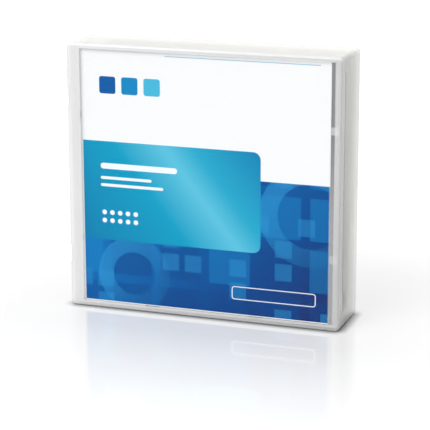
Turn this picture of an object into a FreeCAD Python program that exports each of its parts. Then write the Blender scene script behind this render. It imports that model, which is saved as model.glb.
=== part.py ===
import FreeCAD
import Part
import math
import os

Vector = FreeCAD.Vector

# Frame: +Z up, +X to the right, -Y towards the viewer of the printed front.
# The origin is at the middle of the bottom face of the closed case.
# The cartridge is drawn in a frame of its own, u from its left side to its right side,
# v from its rear to its front and w from its bottom to its top, with the origin at the
# reel's axis on the bottom face. It stands in the case on its left side.

# Fits that more than one piece uses
fit_gap = 0.05
slide_gap = 0.1
turn_gap = 0.3

# Reel of tape
flange_radius = 48.5
flange_thickness = 1.2
upper_flange_thickness = 1.1
hub_radius = 22.0
hub_wall = 2.5
hub_plate_thickness = 1.6
hub_plate_drop = 1.2
hub_foot_gap = 0.8
spindle_hole_radius = 3.0
tape_width = 12.65
tape_side_gap = 0.15
tape_pack_rim_gap = 2.4

# Toothed rings, drive ring below the hub and brake ring inside it
tooth_count = 60
drive_ring_edge = 1.3
drive_ring_width = 3.8
drive_tooth_height = 0.7
brake_ring_edge = 1.2
brake_ring_width = 3.0
brake_tooth_height = 1.0
tooth_tip_gap = 0.08

# Brake button, its spring and the release pad below it
brake_travel = 1.8
brake_plate_thickness = 1.5
brake_socket_radius = 7.0
brake_socket_height = 7.5
key_arm_length = 8.0
key_arm_width = 1.4
key_gap = 0.15
key_spare_depth = 2.0
pad_corner_half = 2.6
pad_edge_beyond_leg = 0.4
pad_leg_inset = 2.8
pad_leg_radius = 1.4
pad_leg_gap = 0.15
pad_leg_below_plate = 0.7
spring_mean_radius = 8.5
spring_wire_radius = 0.35
spring_coils = 6
coil_steps = 8
clutch_plate_inner = 4.5
clutch_plate_edge = 0.6
clutch_plate_thickness = 0.5

# Cartridge shell
shell_wall = 1.8
reel_rim_gap = 0.7
reel_side_gap = 2.4
reel_head_room = 1.85
rest_rib_height = 0.8
rest_rib_width = 2.0
hub_opening_edge = 1.0
seam_level = 10.75
shell_lip_height = 1.0
shell_lip_thickness = 0.8
shell_corner_radius = 1.6
shell_edge_chamfer = 0.5
lead_in_length = 4.0
lead_in_drop = 0.8
guide_wall_gap = 0.8
guide_wall_thickness = 1.2
guide_wall_height = 8.0
guide_wall_half_angle = 20.0
corner_rib_thickness = 1.0
label_recess_depth = 0.35
label_recess_height = 12.0
label_recess_left = 20.0
label_recess_right = 7.0
top_panel_depth = 0.3
top_panel_from_side = 6.0
top_panel_from_rear = 9.0
top_panel_from_front = 11.0
top_panel_corner_radius = 3.0
grip_groove_count = 6
grip_groove_depth = 0.4
grip_groove_width = 1.0
grip_groove_pitch = 2.2
grip_groove_from_rear = 3.5
grip_groove_margin = 3.0
grip_notch_depth = 1.0
grip_notch_length = 6.0
grip_notch_height = 6.0
grip_notch_from_rear = 24.0

# Screws and their bosses
boss_half = 2.9
boss_wall_gap = 0.2
screw_radius = 1.0
screw_hole_gap = 0.3
screw_head_radius = 2.0
screw_head_height = 1.4
screw_head_gap = 0.2
screw_sink_depth = 3.0
screw_reach = 6.0
pilot_spare_depth = 0.6

# Leader pin, its seats, its spring and the end of the tape
pin_inset = 5.4
pin_radius = 1.25
pin_collar_radius = 2.5
pin_collar_height = 1.0
pin_seat_height = 0.7
pin_seat_gap = 0.3
pin_seat_wall = 0.6
pin_seat_wall_height = 1.1
clip_wall = 0.7
clip_slot = 0.8
lead_thickness = 0.2
pin_spring_thickness = 0.3
pin_spring_width = 1.6
pin_spring_setback = 1.6
pin_spring_post_wall = 1.0
pin_spring_post_height = 5.2

# Sliding door over the tape opening, and its spring
door_thickness = 1.2
door_travel = 13.0
door_groove_depth = 0.6
door_opening_front = 7.0
door_opening_rear = 7.5
door_opening_sill = 0.6
door_overlap = 1.0
door_nib_length = 1.2
door_nib_height = 5.5
door_nib_relief = 0.5
door_spring_mean_radius = 1.05
door_spring_wire_radius = 0.15
door_spring_coils = 10
door_spring_peg_half = 0.5
door_spring_peg_length = 2.0
door_spring_length = 26.5
door_spring_stop_thickness = 1.2
door_spring_stop_height = 7.0

# Write-protect tab
tab_travel = 4.0
tab_width = 5.3
tab_height = 6.5
tab_plate_thickness = 1.0
tab_plate_overlap = 0.7
tab_plate_side = 1.2
tab_window_left = 3.5
tab_window_bottom = 3.2
tab_guide_thickness = 0.8
tab_thumb_groove = 0.5

# Memory chip on its small board
chip_board_length = 12.0
chip_board_height = 6.0
chip_board_thickness = 0.8
chip_wall_gap = 3.5
chip_post_size = 1.6
chip_block_length = 4.0
chip_block_height = 3.0
chip_block_thickness = 0.6

# Clear case
case_wall = 1.2
case_corner_radius = 1.6
case_edge_radius = 0.8
case_upright_depth = 1.0
hinge_zone_width = 8.2
rear_gap = 1.8
top_gap = 0.4
seat_rib_height = 0.8
seat_rib_thickness = 1.0
seat_rib_offset = 35.0
back_rail_height = 1.3
back_rail_width = 2.0
back_rail_offset = 30.0
lid_depth = 4.4
lid_gap = 0.3
lip_height = 0.8
lip_thickness = 0.55
lip_start = 4.0
stop_wall_gap = 0.3
stop_wall_thickness = 1.2
stop_wall_height = 12.0
stop_wall_end_margin = 12.0
side_rib_gap = 0.2
side_rib_thickness = 1.0
side_rib_from_back = 6.5
side_rib_end_margin = 9.0
nail_groove_depth = 0.5
nail_groove_width = 1.0
nail_groove_end_margin = 6.0
thumb_scoop_depth = 0.6
thumb_scoop_radius = 4.7
thumb_scoop_from_bottom = 11.0

# Snap hinge on the left edge
hinge_barrel_radius = 1.5
hinge_peg_radius = 0.8
hinge_peg_length = 1.6
hinge_notch_length = 7.5
hinge_notch_from_end = 21.75
hinge_notch_in_panel = 0.6
hinge_end_gap = 0.2
hinge_ear_length = 4.0

# Printed card and the tabs that hold it
card_thickness = 0.25
card_margin_left = 5.6
card_margin_right = 4.5
card_margin_top = 1.7
card_margin_bottom = 2.4
card_tab_thickness = 0.75
card_tab_height = 3.0
card_tab_grip = 1.2
card_tab_foot = 1.0
card_tab_from_top = 28.8
card_tab_from_bottom = 28.8
card_ledge_thickness = 0.8
card_ledge_length = 6.0
card_ledge_from_edge = 30.0

# Levels in the cartridge, from its bottom face up
floor_top = shell_wall
flange_bottom = floor_top + rest_rib_height
flange_top = flange_bottom + flange_thickness
tape_bottom = flange_top + tape_side_gap
tape_top = tape_bottom + tape_width
hub_top = tape_top + tape_side_gap
reel_top = hub_top + upper_flange_thickness
roof_under = reel_top + reel_head_room
cart_height = roof_under + shell_wall
plate_bottom = flange_bottom - hub_plate_drop
plate_top = plate_bottom + hub_plate_thickness
brake_tip = plate_top + brake_tooth_height
button_tip = plate_top + tooth_tip_gap
pad_top = brake_tip + tooth_tip_gap
brake_top = pad_top + brake_plate_thickness

# Extents of the cartridge
inner_u = flange_radius + reel_side_gap
inner_v = flange_radius + reel_rim_gap
half_u = inner_u + shell_wall
half_v = inner_v + shell_wall
cart_width = 2 * half_u
cart_depth = 2 * half_v
hub_bore = hub_radius - hub_wall
tape_pack_radius = flange_radius - tape_pack_rim_gap
hub_opening_radius = hub_radius - hub_opening_edge
hub_foot_radius = hub_opening_radius - turn_gap - hub_foot_gap
drive_ring_outer = hub_foot_radius - drive_ring_edge
drive_ring_inner = drive_ring_outer - drive_ring_width
brake_ring_outer = hub_bore - brake_ring_edge
brake_ring_inner = brake_ring_outer - brake_ring_width
pad_leg_circle = drive_ring_inner - pad_leg_inset
clutch_plate_outer = pad_leg_circle - pad_leg_radius - clutch_plate_edge

# Places along the cartridge's walls
door_channel = door_thickness + 2 * slide_gap
tab_channel = tab_plate_thickness + 2 * slide_gap + tab_guide_thickness
boss_u = inner_u - door_channel - turn_gap - boss_half
front_boss_v = inner_v - boss_wall_gap - boss_half
rear_boss_v = inner_v - tab_channel - boss_half
pin_seat_half = pin_collar_radius + pin_seat_gap + pin_seat_wall
pin_u = inner_u - pin_inset
pin_v = front_boss_v - boss_half - boss_wall_gap - pin_seat_half
pin_bottom = floor_top + pin_seat_height
pin_top = roof_under - pin_seat_height
opening_front = pin_v + door_opening_front
opening_rear = pin_v - door_opening_rear
opening_bottom = floor_top + door_opening_sill
opening_top = roof_under - door_opening_sill
door_u = inner_u - slide_gap - door_thickness
door_rear = opening_rear - door_overlap
door_front = opening_front + door_overlap
door_bottom = floor_top - door_groove_depth + slide_gap
door_top = roof_under + door_groove_depth - slide_gap
door_middle = (opening_bottom + opening_top) / 2
door_spring_u = inner_u - slide_gap - door_spring_mean_radius - door_spring_wire_radius
door_stop_v = door_rear - door_spring_length
chip_distance = flange_radius + guide_wall_gap + guide_wall_thickness + chip_wall_gap
window_left = -half_u + tab_window_left
window_right = window_left + tab_width + tab_travel + 2 * slide_gap
window_bottom = tab_window_bottom
window_top = window_bottom + tab_height + 2 * slide_gap

# Extents of the case
case_width = 2 * case_wall + hinge_zone_width + cart_depth + rear_gap
case_height = 2 * case_wall + seat_rib_height + cart_width + top_gap
case_depth = 2 * case_wall + card_thickness + card_tab_thickness + lid_gap + cart_height + back_rail_height
left_x = -case_width / 2
right_x = case_width / 2
front_y = -case_depth / 2
back_y = case_depth / 2
split_y = front_y + lid_depth
hinge_x = left_x + hinge_barrel_radius
cart_rear_x = right_x - case_wall - rear_gap
cart_front_x = cart_rear_x - cart_depth
reel_x = cart_rear_x - half_v
cart_bottom_y = back_y - case_wall - back_rail_height
cart_top_y = cart_bottom_y - cart_height
cart_low_z = case_wall + seat_rib_height
reel_z = cart_low_z + half_u
panel_inner_y = front_y + case_wall
card_back_y = panel_inner_y + card_thickness
card_left = left_x + card_margin_left
card_right = right_x - card_margin_right
card_bottom = card_margin_bottom
card_top = case_height - card_margin_top


def block(x0, x1, y0, y1, z0, z1):
    return Part.makeBox(x1 - x0, y1 - y0, z1 - z0, Vector(x0, y0, z0))


def disc(radius, z0, z1, x=0.0, y=0.0):
    return Part.makeCylinder(radius, z1 - z0, Vector(x, y, z0))


def ring(inner, outer, z0, z1, x=0.0, y=0.0):
    return disc(outer, z0, z1, x, y).cut(disc(inner, z0, z1, x, y))


def post(centre, half, z0, z1):
    x, y = centre
    return block(x - half, x + half, y - half, y + half, z0, z1)


def joined(shapes):
    return shapes[0].multiFuse(shapes[1:]).removeSplitter()


def turned(points):
    corners = [Vector(r, 0, w) for r, w in points]
    face = Part.Face(Part.makePolygon(corners + corners[:1]))
    return face.revolve(Vector(0, 0, 0), Vector(0, 0, 1), 360)


def rounded_wire(a0, a1, b0, b1, radius, place):
    # A closed rounded rectangle. place turns the flat pair (a, b) into a point in space.
    k = radius * (1 - math.sqrt(0.5))
    r = radius
    lines = [
        ((a0 + r, b0), (a1 - r, b0)),
        ((a1, b0 + r), (a1, b1 - r)),
        ((a1 - r, b1), (a0 + r, b1)),
        ((a0, b1 - r), (a0, b0 + r)),
    ]
    middles = [(a1 - k, b0 + k), (a1 - k, b1 - k), (a0 + k, b1 - k), (a0 + k, b0 + k)]
    edges = []
    for i, (start, end) in enumerate(lines):
        after = lines[(i + 1) % 4][0]
        edges.append(Part.LineSegment(place(*start), place(*end)).toShape())
        edges.append(Part.Arc(place(*end), place(*middles[i]), place(*after)).toShape())
    return Part.Wire(edges)


def slab(x0, x1, y0, y1, z0, z1, radius):
    # A flat plate with rounded corners, standing on z0.
    wire = rounded_wire(x0, x1, y0, y1, radius, lambda a, b: Vector(a, b, z0))
    return Part.Face(wire).extrude(Vector(0, 0, z1 - z0))


def edges_at(shape, axis, value):
    found = []
    for edge in shape.Edges:
        box = edge.BoundBox
        low = (box.XMin, box.YMin, box.ZMin)[axis]
        high = (box.XMax, box.YMax, box.ZMax)[axis]
        if abs(low - value) < 1e-4 and abs(high - value) < 1e-4:
            found.append(edge)
    return found


def turned_about(shape, angle, centre=Vector(0, 0, 0), axis=Vector(0, 0, 1)):
    copy = shape.copy()
    copy.rotate(centre, axis, angle)
    return copy


def coil(mean_radius, wire_radius, length, coils):
    # A compression spring along +Z from 0 to length. The wire runs in short straight steps
    # and has a square section, which keeps its faces few.
    steps = coils * coil_steps
    rise = length - 2 * wire_radius
    points = []
    for i in range(steps + 1):
        turn = 2 * math.pi * i / coil_steps
        points.append(Vector(mean_radius * math.cos(turn), mean_radius * math.sin(turn),
                             wire_radius + rise * i / steps))
    out = Vector(1, 0, 0) * wire_radius
    up = Vector(0, 0, 1) * wire_radius
    start = points[0]
    section = Part.makePolygon([start - out - up, start + out - up, start + out + up,
                                start - out + up, start - out - up])
    return Part.makePolygon(points).makePipeShell([section], True, True, 1)


def tooth(inner, outer, root_level, tip_level, middle):
    # One tooth of a face coupling. All its edges run to the axis, so that it tapers inwards.
    half = math.pi / tooth_count
    centre = math.radians(middle)

    def corner(radius, angle, level):
        return Vector(radius * math.cos(angle), radius * math.sin(angle), level)

    def tip(radius):
        return corner(radius * math.cos(half), centre, tip_level)

    a0 = corner(inner, centre - half, root_level)
    a1 = corner(inner, centre + half, root_level)
    b0 = corner(outer, centre - half, root_level)
    b1 = corner(outer, centre + half, root_level)
    a, b = tip(inner), tip(outer)
    sides = [(a0, a1, b1, b0), (a0, a, a1), (b0, b1, b), (a0, b0, b), (a0, b, a), (a, b, b1), (a, b1, a1)]
    faces = [Part.Face(Part.makePolygon(list(side) + [side[0]])) for side in sides]
    return Part.makeSolid(Part.makeShell(faces))


def toothed_ring(inner, outer, root_level, tip_level, first_angle):
    pitch = 360.0 / tooth_count
    return [tooth(inner, outer, root_level, tip_level, first_angle + i * pitch) for i in range(tooth_count)]


def corner_signs():
    return [(1, 1), (-1, 1), (-1, -1), (1, -1)]


def boss_places():
    return [(su * boss_u, front_boss_v if sv > 0 else -rear_boss_v) for su, sv in corner_signs()]


def shell_block(w0, w1):
    body = slab(-half_u, half_u, -half_v, half_v, 0, cart_height, shell_corner_radius)
    edges = edges_at(body, 2, 0) + edges_at(body, 2, cart_height)
    body = body.makeChamfer(shell_edge_chamfer, edges)
    return body.common(block(-half_u, half_u, -half_v, half_v, w0, w1))


def shell_cavity(w0, w1, extra=0.0):
    radius = max(shell_corner_radius - shell_wall + extra, fit_gap)
    return slab(-inner_u - extra, inner_u + extra, -inner_v - extra, inner_v + extra, w0, w1, radius)


def guide_wall(quadrant_angle, w0, w1):
    # Part of a round wall beside the reel, in one corner of the shell.
    inner = flange_radius + guide_wall_gap
    outer = inner + guide_wall_thickness
    half = guide_wall_half_angle
    wall = ring(inner, outer, w0, w1)
    wedge = Part.makeCylinder(outer + 1, w1 - w0, Vector(0, 0, w0), Vector(0, 0, 1), 2 * half)
    return wall.common(turned_about(wedge, quadrant_angle - half))


def corner_rib(boss, w0, w1):
    # A thin web from the round wall to the screw boss behind it.
    near = flange_radius + guide_wall_gap + guide_wall_thickness / 2
    far = math.hypot(*boss) - boss_half / 2
    half = corner_rib_thickness / 2
    web = block(near, far, -half, half, w0, w1)
    return turned_about(web, math.degrees(math.atan2(boss[1], boss[0])))


def door_opening(w0, w1):
    low = max(opening_bottom, w0)
    high = min(opening_top, w1)
    return block(inner_u - slide_gap, half_u + 1, opening_rear, opening_front, low, high)


def door_groove(w0, w1):
    return block(inner_u - door_channel, inner_u, door_rear - door_travel - slide_gap,
                 door_front + slide_gap, w0, w1)


def nib_relief(w0, w1):
    # The shallow slot behind the opening that lets the pushed nib pass inside the wall.
    low = max(door_middle - door_nib_height / 2 - door_nib_relief, w0)
    high = min(door_middle + door_nib_height / 2 + door_nib_relief, w1)
    return block(inner_u - slide_gap, half_u + 1, opening_rear - door_nib_relief, opening_rear, low, high)


def grip_features():
    # Finger grooves near the rear of both sides, and a notch for the picker's fingers.
    cuts = []
    for side in (-1, 1):
        outer = side * (half_u + 1)
        for i in range(grip_groove_count):
            v = -half_v + grip_groove_from_rear + i * grip_groove_pitch
            inner = side * (half_u - grip_groove_depth)
            cuts.append(block(min(outer, inner), max(outer, inner), v, v + grip_groove_width,
                              grip_groove_margin, cart_height - grip_groove_margin))
        inner = side * (half_u - grip_notch_depth)
        v = -half_v + grip_notch_from_rear
        cuts.append(block(min(outer, inner), max(outer, inner), v, v + grip_notch_length,
                          -1, grip_notch_height))
    return cuts


def label_recess():
    low = (cart_height - label_recess_height) / 2
    return block(-half_u + label_recess_left, half_u - label_recess_right,
                 -half_v - 1, -half_v + label_recess_depth, low, low + label_recess_height)


def top_panel():
    # The shallow sunk panel with round corners on the top face.
    return slab(-half_u + top_panel_from_side, half_u - top_panel_from_side,
                -half_v + top_panel_from_rear, half_v - top_panel_from_front,
                cart_height - top_panel_depth, cart_height + 1, top_panel_corner_radius)


def lead_in(level, drop):
    # The slope along the front edge of the top or bottom face.
    corners = [
        Vector(-half_u - 1, half_v - lead_in_length, level),
        Vector(-half_u - 1, half_v + 1, level),
        Vector(-half_u - 1, half_v + 1, level + drop * (1 + 1 / lead_in_length)),
    ]
    face = Part.Face(Part.makePolygon(corners + corners[:1]))
    return face.extrude(Vector(cart_width + 2, 0, 0))


def pin_seat(level, into):
    # A square pad for one end of the leader pin, with a low wall open towards the door.
    pad_end = level + into * pin_seat_height
    wall_end = pad_end + into * pin_seat_wall_height
    low = min(pad_end, wall_end)
    high = max(pad_end, wall_end)
    pocket = pin_collar_radius + pin_seat_gap
    body = post((pin_u, pin_v), pin_seat_half, min(level, wall_end), max(level, wall_end))
    body = body.cut(disc(pocket, low, high, pin_u, pin_v))
    body = body.cut(block(pin_u, pin_u + pin_seat_half, pin_v - pocket, pin_v + pocket, low, high))
    half = pin_spring_width / 2 + slide_gap
    return body.cut(block(pin_u - pin_seat_half, pin_u, pin_v - half, pin_v + half, low, high))


def pin_spring_back():
    return pin_u - pin_seat_half - pin_spring_setback


def pin_spring_post():
    # A slotted post that holds the back of the pin's leaf spring.
    back = pin_spring_back()
    wall = pin_spring_post_wall
    half = pin_spring_width / 2 + fit_gap
    top = floor_top + pin_spring_post_height
    body = block(back - wall, back + pin_spring_thickness + wall, pin_v - half - wall, pin_v + half + wall,
                 floor_top, top)
    slot_low = pin_bottom + pin_collar_height / 2 - pin_spring_thickness / 2 - fit_gap
    return body.cut(block(back - fit_gap, back + pin_spring_thickness + wall + 1, pin_v - half, pin_v + half,
                          slot_low, top))


def door_spring_stop():
    # The rib that carries the rear end of the door spring.
    half = door_spring_stop_height / 2
    return block(door_spring_u - door_spring_mean_radius, inner_u, door_stop_v - door_spring_stop_thickness,
                 door_stop_v, door_middle - half, door_middle + half)


def spring_peg(v0, v1):
    # A square peg inside one end of the door spring.
    half = door_spring_peg_half
    return block(door_spring_u - half, door_spring_u + half, v0, v1, door_middle - half, door_middle + half)


def tab_guide():
    # The rib that keeps the write-protect tab against the rear wall.
    v = -inner_v + tab_plate_thickness + 2 * slide_gap
    return block(-inner_u, window_right + tab_plate_side, v, v + tab_guide_thickness,
                 floor_top, window_top - tab_plate_overlap)


def chip_posts():
    # Two slotted posts that hold the memory board on edge in the rear right corner.
    posts = []
    half = chip_post_size / 2
    for side in (-1, 1):
        at = side * (chip_board_length / 2)
        posts.append(block(chip_distance - half, chip_distance + chip_board_thickness + half,
                           at - half, at + half, floor_top, floor_top + chip_board_height / 2))
    slot = block(chip_distance - fit_gap, chip_distance + chip_board_thickness + fit_gap,
                 -chip_board_length / 2 - fit_gap, chip_board_length / 2 + fit_gap,
                 floor_top, floor_top + chip_board_height)
    return turned_about(posts[0].fuse(posts[1]).cut(slot), -45)


def make_bottom_shell():
    body = shell_block(0, seam_level)
    body = body.cut(shell_cavity(floor_top, seam_level))
    lip_inner = shell_cavity(seam_level, seam_level + shell_lip_height)
    lip_outer = shell_cavity(seam_level, seam_level + shell_lip_height, shell_lip_thickness)
    adds = [lip_outer.cut(lip_inner)]
    adds.append(ring(hub_opening_radius, hub_opening_radius + rest_rib_width, floor_top, flange_bottom))
    guide_top = floor_top + guide_wall_height
    for su, sv in corner_signs()[1:]:
        adds.append(guide_wall(math.degrees(math.atan2(sv, su)), floor_top, guide_top))
    for boss in boss_places():
        adds.append(post(boss, boss_half, floor_top, seam_level))
    for boss in boss_places()[1:3]:
        adds.append(corner_rib(boss, floor_top, guide_top))
    adds += [pin_seat(floor_top, 1), pin_spring_post(), tab_guide(), chip_posts()]
    body = joined([body] + adds)
    cuts = [disc(hub_opening_radius, -1, flange_bottom)]
    cuts += [door_opening(0, seam_level + shell_lip_height), nib_relief(0, seam_level + shell_lip_height)]
    cuts.append(door_groove(floor_top - door_groove_depth, floor_top))
    cuts.append(block(window_left, window_right, -half_v - 1, -inner_v, window_bottom, window_top))
    for u, v in boss_places():
        cuts.append(disc(screw_radius + screw_hole_gap, 0, seam_level, u, v))
        cuts.append(disc(screw_head_radius + screw_head_gap, -1, screw_sink_depth, u, v))
    cuts += grip_features()
    cuts += [label_recess(), lead_in(0, lead_in_drop)]
    return body.cut(cuts).removeSplitter()


def key_post():
    # The cross-shaped post inside the brake spring, which keeps the brake button from turning.
    half = key_arm_length / 2
    low = brake_top + brake_travel + key_spare_depth
    one = block(-half, half, -key_arm_width / 2, key_arm_width / 2, low, roof_under)
    return one.fuse(turned_about(one, 90))


def make_top_shell():
    body = shell_block(seam_level, cart_height)
    rebate = shell_cavity(seam_level, seam_level + shell_lip_height + fit_gap,
                          shell_lip_thickness + fit_gap)
    body = body.cut(shell_cavity(seam_level, roof_under)).cut(rebate)
    adds = [key_post(), pin_seat(roof_under, -1)]
    for boss in boss_places():
        adds.append(post(boss, boss_half, seam_level, roof_under))
    body = joined([body] + adds)
    cuts = [door_opening(seam_level, cart_height), nib_relief(seam_level, cart_height)]
    cuts.append(door_groove(roof_under, roof_under + door_groove_depth))
    for u, v in boss_places():
        cuts.append(disc(screw_radius + fit_gap, seam_level, seam_level + screw_reach + pilot_spare_depth, u, v))
    cuts += grip_features()
    cuts += [label_recess(), top_panel(), lead_in(cart_height, -lead_in_drop)]
    peg = spring_peg(door_stop_v, door_stop_v + door_spring_peg_length)
    return joined([body.cut(cuts), door_spring_stop(), peg])


def make_screws():
    screws = []
    for u, v in boss_places():
        head = disc(screw_head_radius, screw_sink_depth - screw_head_height, screw_sink_depth, u, v)
        shank = disc(screw_radius, screw_sink_depth, seam_level + screw_reach, u, v)
        screws.append(head.fuse(shank))
    return Part.makeCompound(screws)


def make_reel_hub():
    body = turned([
        (spindle_hole_radius, plate_bottom),
        (hub_foot_radius, plate_bottom),
        (hub_foot_radius, flange_bottom),
        (flange_radius, flange_bottom),
        (flange_radius, flange_top),
        (hub_radius, flange_top),
        (hub_radius, hub_top),
        (hub_bore, hub_top),
        (hub_bore, plate_top),
        (spindle_hole_radius, plate_top),
    ])
    teeth = toothed_ring(drive_ring_inner, drive_ring_outer, plate_bottom, plate_bottom - drive_tooth_height, 0)
    teeth += toothed_ring(brake_ring_inner, brake_ring_outer, plate_top, brake_tip, 0)
    body = body.fuse(teeth)
    holes = []
    for i in range(3):
        angle = math.radians(90 + 120 * i)
        holes.append(disc(pad_leg_radius + pad_leg_gap, plate_bottom, plate_top,
                          pad_leg_circle * math.cos(angle), pad_leg_circle * math.sin(angle)))
    return body.cut(holes).removeSplitter()


def make_upper_flange():
    return ring(hub_bore, flange_radius, hub_top, reel_top)


def make_tape_pack():
    return ring(hub_radius + fit_gap, tape_pack_radius, tape_bottom, tape_top)


def make_clutch_plate():
    return ring(clutch_plate_inner, clutch_plate_outer, plate_bottom - clutch_plate_thickness, plate_bottom)


def make_release_pad():
    # A three-cornered plate with a round leg below each corner.
    reach = pad_leg_circle + pad_leg_radius + pad_edge_beyond_leg
    corners = []
    legs = []
    for i in range(3):
        angle = math.radians(90 + 120 * i)
        along = Vector(math.cos(angle), math.sin(angle), 0)
        across = Vector(-along.y, along.x, 0) * pad_corner_half
        for side in (-1, 1):
            corners.append(along * reach + across * side + Vector(0, 0, plate_top))
        at = along * pad_leg_circle
        legs.append(disc(pad_leg_radius, plate_bottom - pad_leg_below_plate, plate_top, at.x, at.y))
    plate = Part.Face(Part.makePolygon(corners + corners[:1])).extrude(Vector(0, 0, pad_top - plate_top))
    return joined([plate] + legs)


def make_brake_button():
    # The toothed plate, with a cross-shaped slot that keeps it from turning.
    plate = disc(brake_ring_outer + turn_gap, pad_top, brake_top)
    socket_top = brake_top + brake_socket_height
    socket = disc(brake_socket_radius, brake_top, socket_top)
    half = key_arm_length / 2 + key_gap
    across = key_arm_width / 2 + key_gap
    slot = block(-half, half, -across, across, brake_top, socket_top + 1)
    slot = slot.fuse(turned_about(slot, 90))
    teeth = toothed_ring(brake_ring_inner, brake_ring_outer, pad_top, button_tip, 180.0 / tooth_count)
    return joined([plate, socket] + teeth).cut(slot)


def make_brake_spring():
    spring = coil(spring_mean_radius, spring_wire_radius, roof_under - brake_top, spring_coils)
    spring.translate(Vector(0, 0, brake_top))
    return spring


def make_leader_pin():
    low = disc(pin_collar_radius, pin_bottom, pin_bottom + pin_collar_height, pin_u, pin_v)
    high = disc(pin_collar_radius, pin_top - pin_collar_height, pin_top, pin_u, pin_v)
    shaft = disc(pin_radius, pin_bottom, pin_top, pin_u, pin_v)
    return joined([shaft, low, high])


def make_tape_clip():
    inner = pin_radius + fit_gap
    outer = inner + clip_wall
    sleeve = ring(inner, outer, tape_bottom, tape_top, pin_u, pin_v)
    return sleeve.cut(block(pin_u - clip_slot / 2, pin_u + clip_slot / 2, pin_v - outer - 1, pin_v,
                            tape_bottom, tape_top))


def make_tape_lead():
    # The straight strip from the wound tape to the clip on the pin, drawn beside the line
    # that touches both circles on the side of the front wall.
    near = tape_pack_radius + turn_gap
    far = pin_radius + fit_gap + clip_wall + fit_gap
    distance = math.hypot(pin_u, pin_v)
    angle = math.degrees(math.atan2(pin_v, pin_u) + math.acos((near - far) / distance))
    length = math.sqrt(distance ** 2 - (near - far) ** 2)
    strip = block(near, near + lead_thickness, -length, 0, tape_bottom, tape_top)
    return turned_about(strip, angle)


def make_pin_spring():
    # A bent leaf spring. Its two arms press on the pin's collars.
    t = pin_spring_thickness
    back = pin_spring_back()
    front = pin_u - pin_collar_radius - slide_gap
    low = pin_bottom + (pin_collar_height - t) / 2
    high = pin_top - (pin_collar_height - t) / 2
    half = pin_spring_width / 2
    whole = block(back, front, pin_v - half, pin_v + half, low, high)
    return whole.cut(block(back + t, front + 1, pin_v - half, pin_v + half, low + t, high - t))


def make_slide_door():
    plate = block(door_u, door_u + door_thickness, door_rear, door_front, door_bottom, door_top)
    nib_front = opening_front - slide_gap
    half = door_nib_height / 2
    nib = block(door_u, half_u - door_nib_relief, nib_front - door_nib_length, nib_front,
                door_middle - half, door_middle + half)
    foot_u = door_spring_u - door_spring_mean_radius - door_spring_wire_radius
    foot = block(foot_u, door_u, door_rear, door_rear + door_thickness,
                 door_middle - door_spring_mean_radius - door_spring_wire_radius,
                 door_middle + door_spring_mean_radius + door_spring_wire_radius)
    return joined([plate, nib, foot, spring_peg(door_rear - door_spring_peg_length, door_rear)])


def make_door_spring():
    spring = coil(door_spring_mean_radius, door_spring_wire_radius, door_spring_length, door_spring_coils)
    spring.rotate(Vector(0, 0, 0), Vector(1, 0, 0), -90)
    spring.translate(Vector(door_spring_u, door_stop_v, door_middle))
    return spring


def make_write_protect_tab():
    left = window_left + slide_gap
    low = window_bottom + slide_gap
    high = low + tab_height
    plate_v = -inner_v + slide_gap
    button = block(left, left + tab_width, -half_v + slide_gap, plate_v, low, high)
    plate = block(left - tab_plate_side, left + tab_width + tab_plate_side, plate_v,
                  plate_v + tab_plate_thickness, low - tab_plate_overlap, high + tab_plate_overlap)
    middle = left + tab_width / 2
    groove = block(middle - tab_thumb_groove, middle + tab_thumb_groove, -half_v - 1,
                   -half_v + slide_gap + tab_thumb_groove, low, high)
    return button.fuse(plate).removeSplitter().cut(groove)


def make_memory_chip():
    half = chip_board_length / 2
    low = floor_top
    board = block(chip_distance, chip_distance + chip_board_thickness, -half, half,
                  low, low + chip_board_height)
    middle = low + chip_board_height - chip_block_height / 2
    chip = block(chip_distance + chip_board_thickness,
                 chip_distance + chip_board_thickness + chip_block_thickness,
                 -chip_block_length / 2, chip_block_length / 2,
                 middle - chip_block_height / 2, middle + chip_block_height / 2)
    return turned_about(board.fuse(chip), -45)


def in_case(shape):
    # From the cartridge's own frame to the case, standing on its left side.
    turn = FreeCAD.Matrix(
        0, -1, 0, reel_x,
        0, 0, -1, cart_bottom_y,
        1, 0, 0, reel_z,
        0, 0, 0, 1,
    )
    placed = shape.copy()
    placed.Placement = FreeCAD.Placement(turn).multiply(placed.Placement)
    return placed


def case_block(face_y, end_y, inset, radius, round_face):
    # A block from an outer face in to the split or beyond it, with round corners.
    # Its left side stands upright beside the outer face and then leans in to the hinge line.
    inward = math.copysign(1, split_y - face_y)
    start_y = face_y + inward * (inset if inset else 0)
    wire = rounded_wire(left_x + inset, right_x - inset, inset, case_height - inset, radius,
                        lambda a, b: Vector(a, start_y, b))
    body = Part.Face(wire).extrude(Vector(0, end_y - start_y, 0))
    if round_face:
        body = body.makeFillet(case_edge_radius, edges_at(body, 1, start_y))
    bend_y = face_y + inward * case_upright_depth
    lean = (hinge_x - left_x) / (split_y - bend_y)
    beyond_y = end_y + inward
    corners = [
        Vector(left_x + inset, bend_y, -1),
        Vector(left_x - 1, bend_y, -1),
        Vector(left_x - 1, beyond_y, -1),
        Vector(left_x + inset + lean * (beyond_y - bend_y), beyond_y, -1),
    ]
    outside = Part.Face(Part.makePolygon(corners + corners[:1])).extrude(Vector(0, 0, case_height + 2))
    return body.cut(outside)


def rim_block(inset, depth):
    # A rounded slab of the case's outline, drawn in by the inset, that ends at the split.
    y0 = split_y - depth
    wire = rounded_wire(left_x + inset, right_x - inset, inset, case_height - inset,
                        case_corner_radius - inset, lambda a, b: Vector(a, y0, b))
    return Part.Face(wire).extrude(Vector(0, depth, 0))


def lip_band(depth, outer_inset):
    # The band inside the rim where the tray's lip stands in the lid's rebate.
    return rim_block(outer_inset, depth).cut(rim_block(case_wall, depth))


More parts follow.
